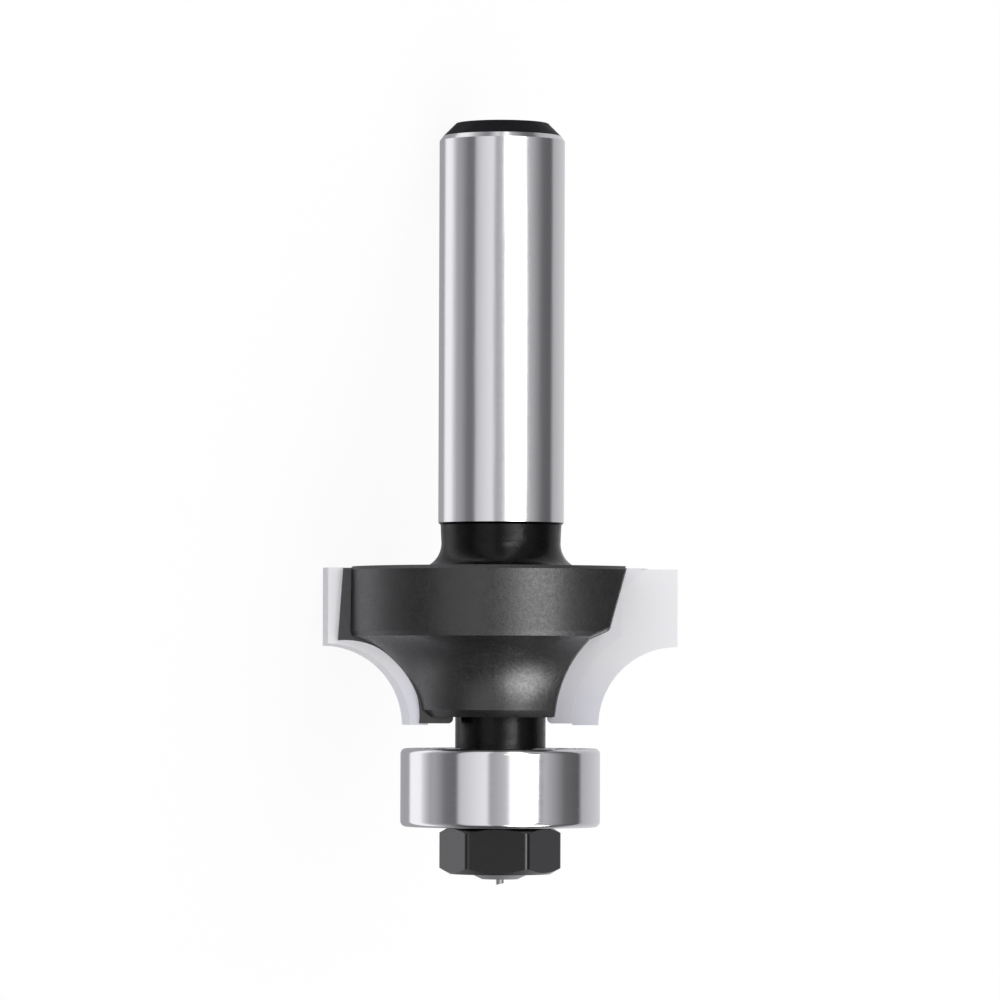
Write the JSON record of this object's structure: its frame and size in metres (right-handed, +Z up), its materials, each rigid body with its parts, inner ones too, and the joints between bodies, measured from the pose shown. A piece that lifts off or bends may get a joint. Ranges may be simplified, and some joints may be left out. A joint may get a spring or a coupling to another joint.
{
  "type": "corner-rounding router bit",
  "caption": "Shank-mounted router bit that rounds a board's edge with carbide wings, guided by a ball bearing under its head.",
  "frame": {"origin": "on the surface it lies on, under the middle of the lying bit", "axes": "+Y towards the shank's end, +Z up, +X to the right of someone who looks along +Y"},
  "size_m": [0.0198, 0.0482, 0.0199],
  "materials": {
    "tool_steel": "ground shank, black coated head",
    "carbide": "diamond ground",
    "silver_solder": "brazed",
    "bearing_steel": "superfinished",
    "ball_steel": "polished",
    "pressed_steel": "pressed sheet",
    "spring_wire": "drawn wire",
    "black_nut": "black oxide"
  },
  "bodies": {
    "bit": {"bit_body": "tool_steel", "carbide_tip_1": "carbide", "carbide_tip_2": "carbide", "braze_layer_1": "silver_solder", "braze_layer_2": "silver_solder", "bearing_inner_ring": "bearing_steel", "hex_nut": "black_nut"},
    "guide_ring": {"bearing_outer_ring": "bearing_steel", "bearing_shield_upper": "pressed_steel", "bearing_shield_lower": "pressed_steel", "shield_clip_upper": "spring_wire", "shield_clip_lower": "spring_wire"},
    "cage": {"bearing_cage_upper": "pressed_steel", "bearing_cage_lower": "pressed_steel"},
    "ball_1": {"bearing_ball_1": "ball_steel"},
    "ball_2": {"bearing_ball_2": "ball_steel"},
    "ball_3": {"bearing_ball_3": "ball_steel"},
    "ball_4": {"bearing_ball_4": "ball_steel"},
    "ball_5": {"bearing_ball_5": "ball_steel"},
    "ball_6": {"bearing_ball_6": "ball_steel"},
    "ball_7": {"bearing_ball_7": "ball_steel"}
  },
  "joints": [
    {"name": "guide_spin", "type": "hinge", "parent": "bit", "child": "guide_ring", "pos_m": [0, -0.01798, 0.0123], "axis": [0, 0.9791, -0.2034], "continuous": true},
    {"name": "cage_spin", "type": "hinge", "parent": "bit", "child": "cage", "pos_m": [0, -0.01798, 0.0123], "axis": [0, 0.9791, -0.2034], "continuous": true},
    {"name": "ball_1_spin", "type": "hinge", "parent": "cage", "child": "ball_1", "pos_m": [0.00192, -0.01718, 0.01614], "axis": [0, 0.9791, -0.2034], "continuous": true},
    {"name": "ball_2_spin", "type": "hinge", "parent": "cage", "child": "ball_2", "pos_m": [0.00426, -0.01779, 0.01322], "axis": [0, 0.9791, -0.2034], "continuous": true},
    {"name": "ball_3_spin", "type": "hinge", "parent": "cage", "child": "ball_3", "pos_m": [0.0034, -0.01854, 0.00961], "axis": [0, 0.9791, -0.2034], "continuous": true},
    {"name": "ball_4_spin", "type": "hinge", "parent": "cage", "child": "ball_4", "pos_m": [-0.00003, -0.01887, 0.00802], "axis": [0, 0.9791, -0.2034], "continuous": true},
    {"name": "ball_5_spin", "type": "hinge", "parent": "cage", "child": "ball_5", "pos_m": [-0.00343, -0.01853, 0.00965], "axis": [0, 0.9791, -0.2034], "continuous": true},
    {"name": "ball_6_spin", "type": "hinge", "parent": "cage", "child": "ball_6", "pos_m": [-0.00425, -0.01778, 0.01327], "axis": [0, 0.9791, -0.2034], "continuous": true},
    {"name": "ball_7_spin", "type": "hinge", "parent": "cage", "child": "ball_7", "pos_m": [-0.00187, -0.01718, 0.01616], "axis": [0, 0.9791, -0.2034], "continuous": true}
  ],
  "couplings": [
    {"joint": "cage_spin", "follows": "guide_spin", "ratio": 0.63635},
    {"joint": "ball_1_spin", "follows": "guide_spin", "ratio": 1.6971},
    {"joint": "ball_2_spin", "follows": "guide_spin", "ratio": 1.6971},
    {"joint": "ball_3_spin", "follows": "guide_spin", "ratio": 1.6971},
    {"joint": "ball_4_spin", "follows": "guide_spin", "ratio": 1.6971},
    {"joint": "ball_5_spin", "follows": "guide_spin", "ratio": 1.6971},
    {"joint": "ball_6_spin", "follows": "guide_spin", "ratio": 1.6971},
    {"joint": "ball_7_spin", "follows": "guide_spin", "ratio": 1.6971}
  ]
}
